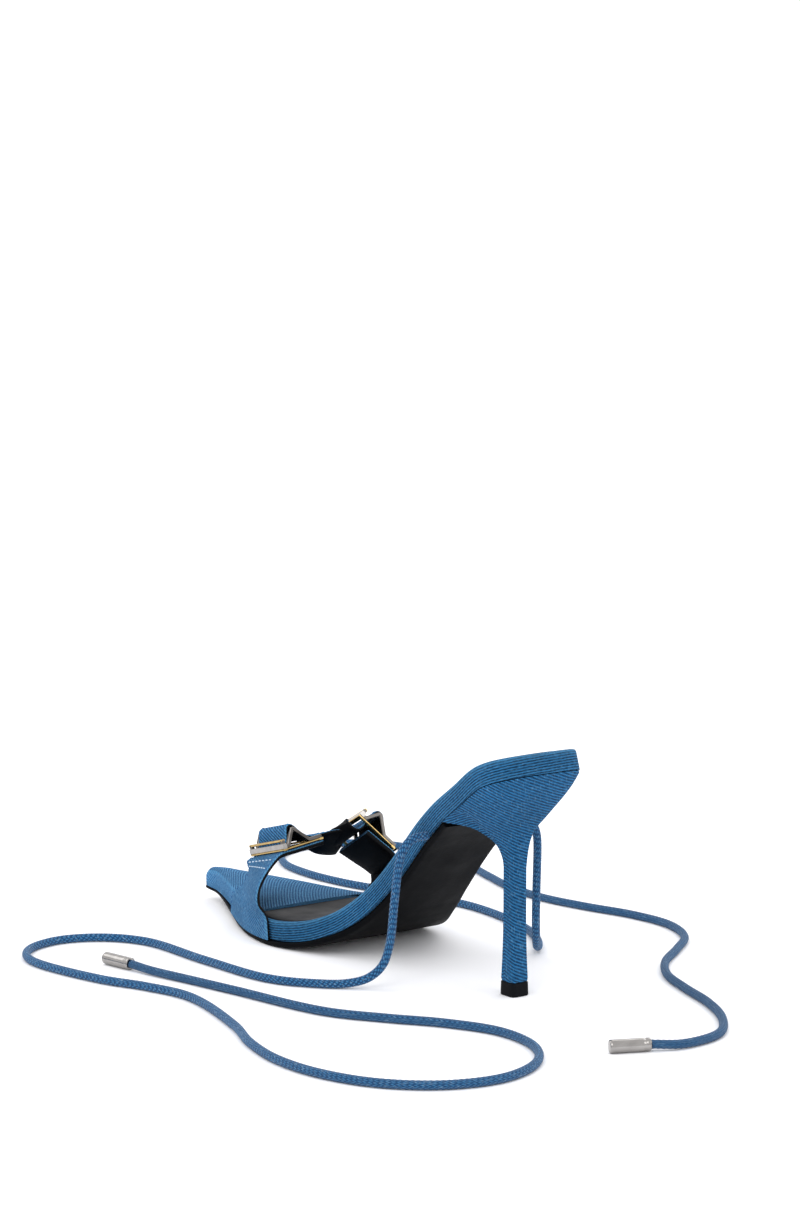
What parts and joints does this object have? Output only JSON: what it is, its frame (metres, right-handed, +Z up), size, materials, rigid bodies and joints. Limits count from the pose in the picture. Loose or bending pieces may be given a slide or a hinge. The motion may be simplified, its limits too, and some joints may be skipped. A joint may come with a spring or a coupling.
{
  "type": "pointed toe sandal",
  "caption": "Denim stiletto sandal with a pointed closed toe, an oblique buckled vamp strap and long braided ankle ties, right shoe.",
  "frame": {"origin": "centre of the heel tip, on the surface that the shoe stands on", "axes": "+X to the toe, +Y to the inner side of the foot, +Z up"},
  "size_m": [0.3881, 0.2747, 0.1015],
  "materials": {
    "denim": "mid-blue twill denim, slightly worn along the edges",
    "denim_toe": "paler mid-blue twill denim over the toe",
    "sock_leather": "black smooth leather, soft gloss",
    "outsole_black": "black polished leather sole",
    "board": "pressed fibre board, hidden",
    "buckle_metal": "pale gold plate, polished",
    "top_lift_rubber": "black moulded top piece",
    "cord_denim": "braided blue cotton cord with pale flecks",
    "tag_metal": "polished silver-coloured crimped end"
  },
  "bodies": {
    "root": {"outsole": "outsole_black", "insole_board": "board", "sock_lining": "sock_leather", "rand": "denim", "toe_cover": "denim_toe", "strap_tab_inner": "denim", "strap_tab_outer": "denim", "vamp_strap": "denim", "buckle_inner": "buckle_metal", "buckle_outer": "buckle_metal", "heel": "denim", "top_lift": "top_lift_rubber", "tie_inner": "cord_denim", "tie_outer": "cord_denim", "tie_tag_inner": "tag_metal", "tie_tag_outer": "tag_metal"}
  },
  "joints": []
}
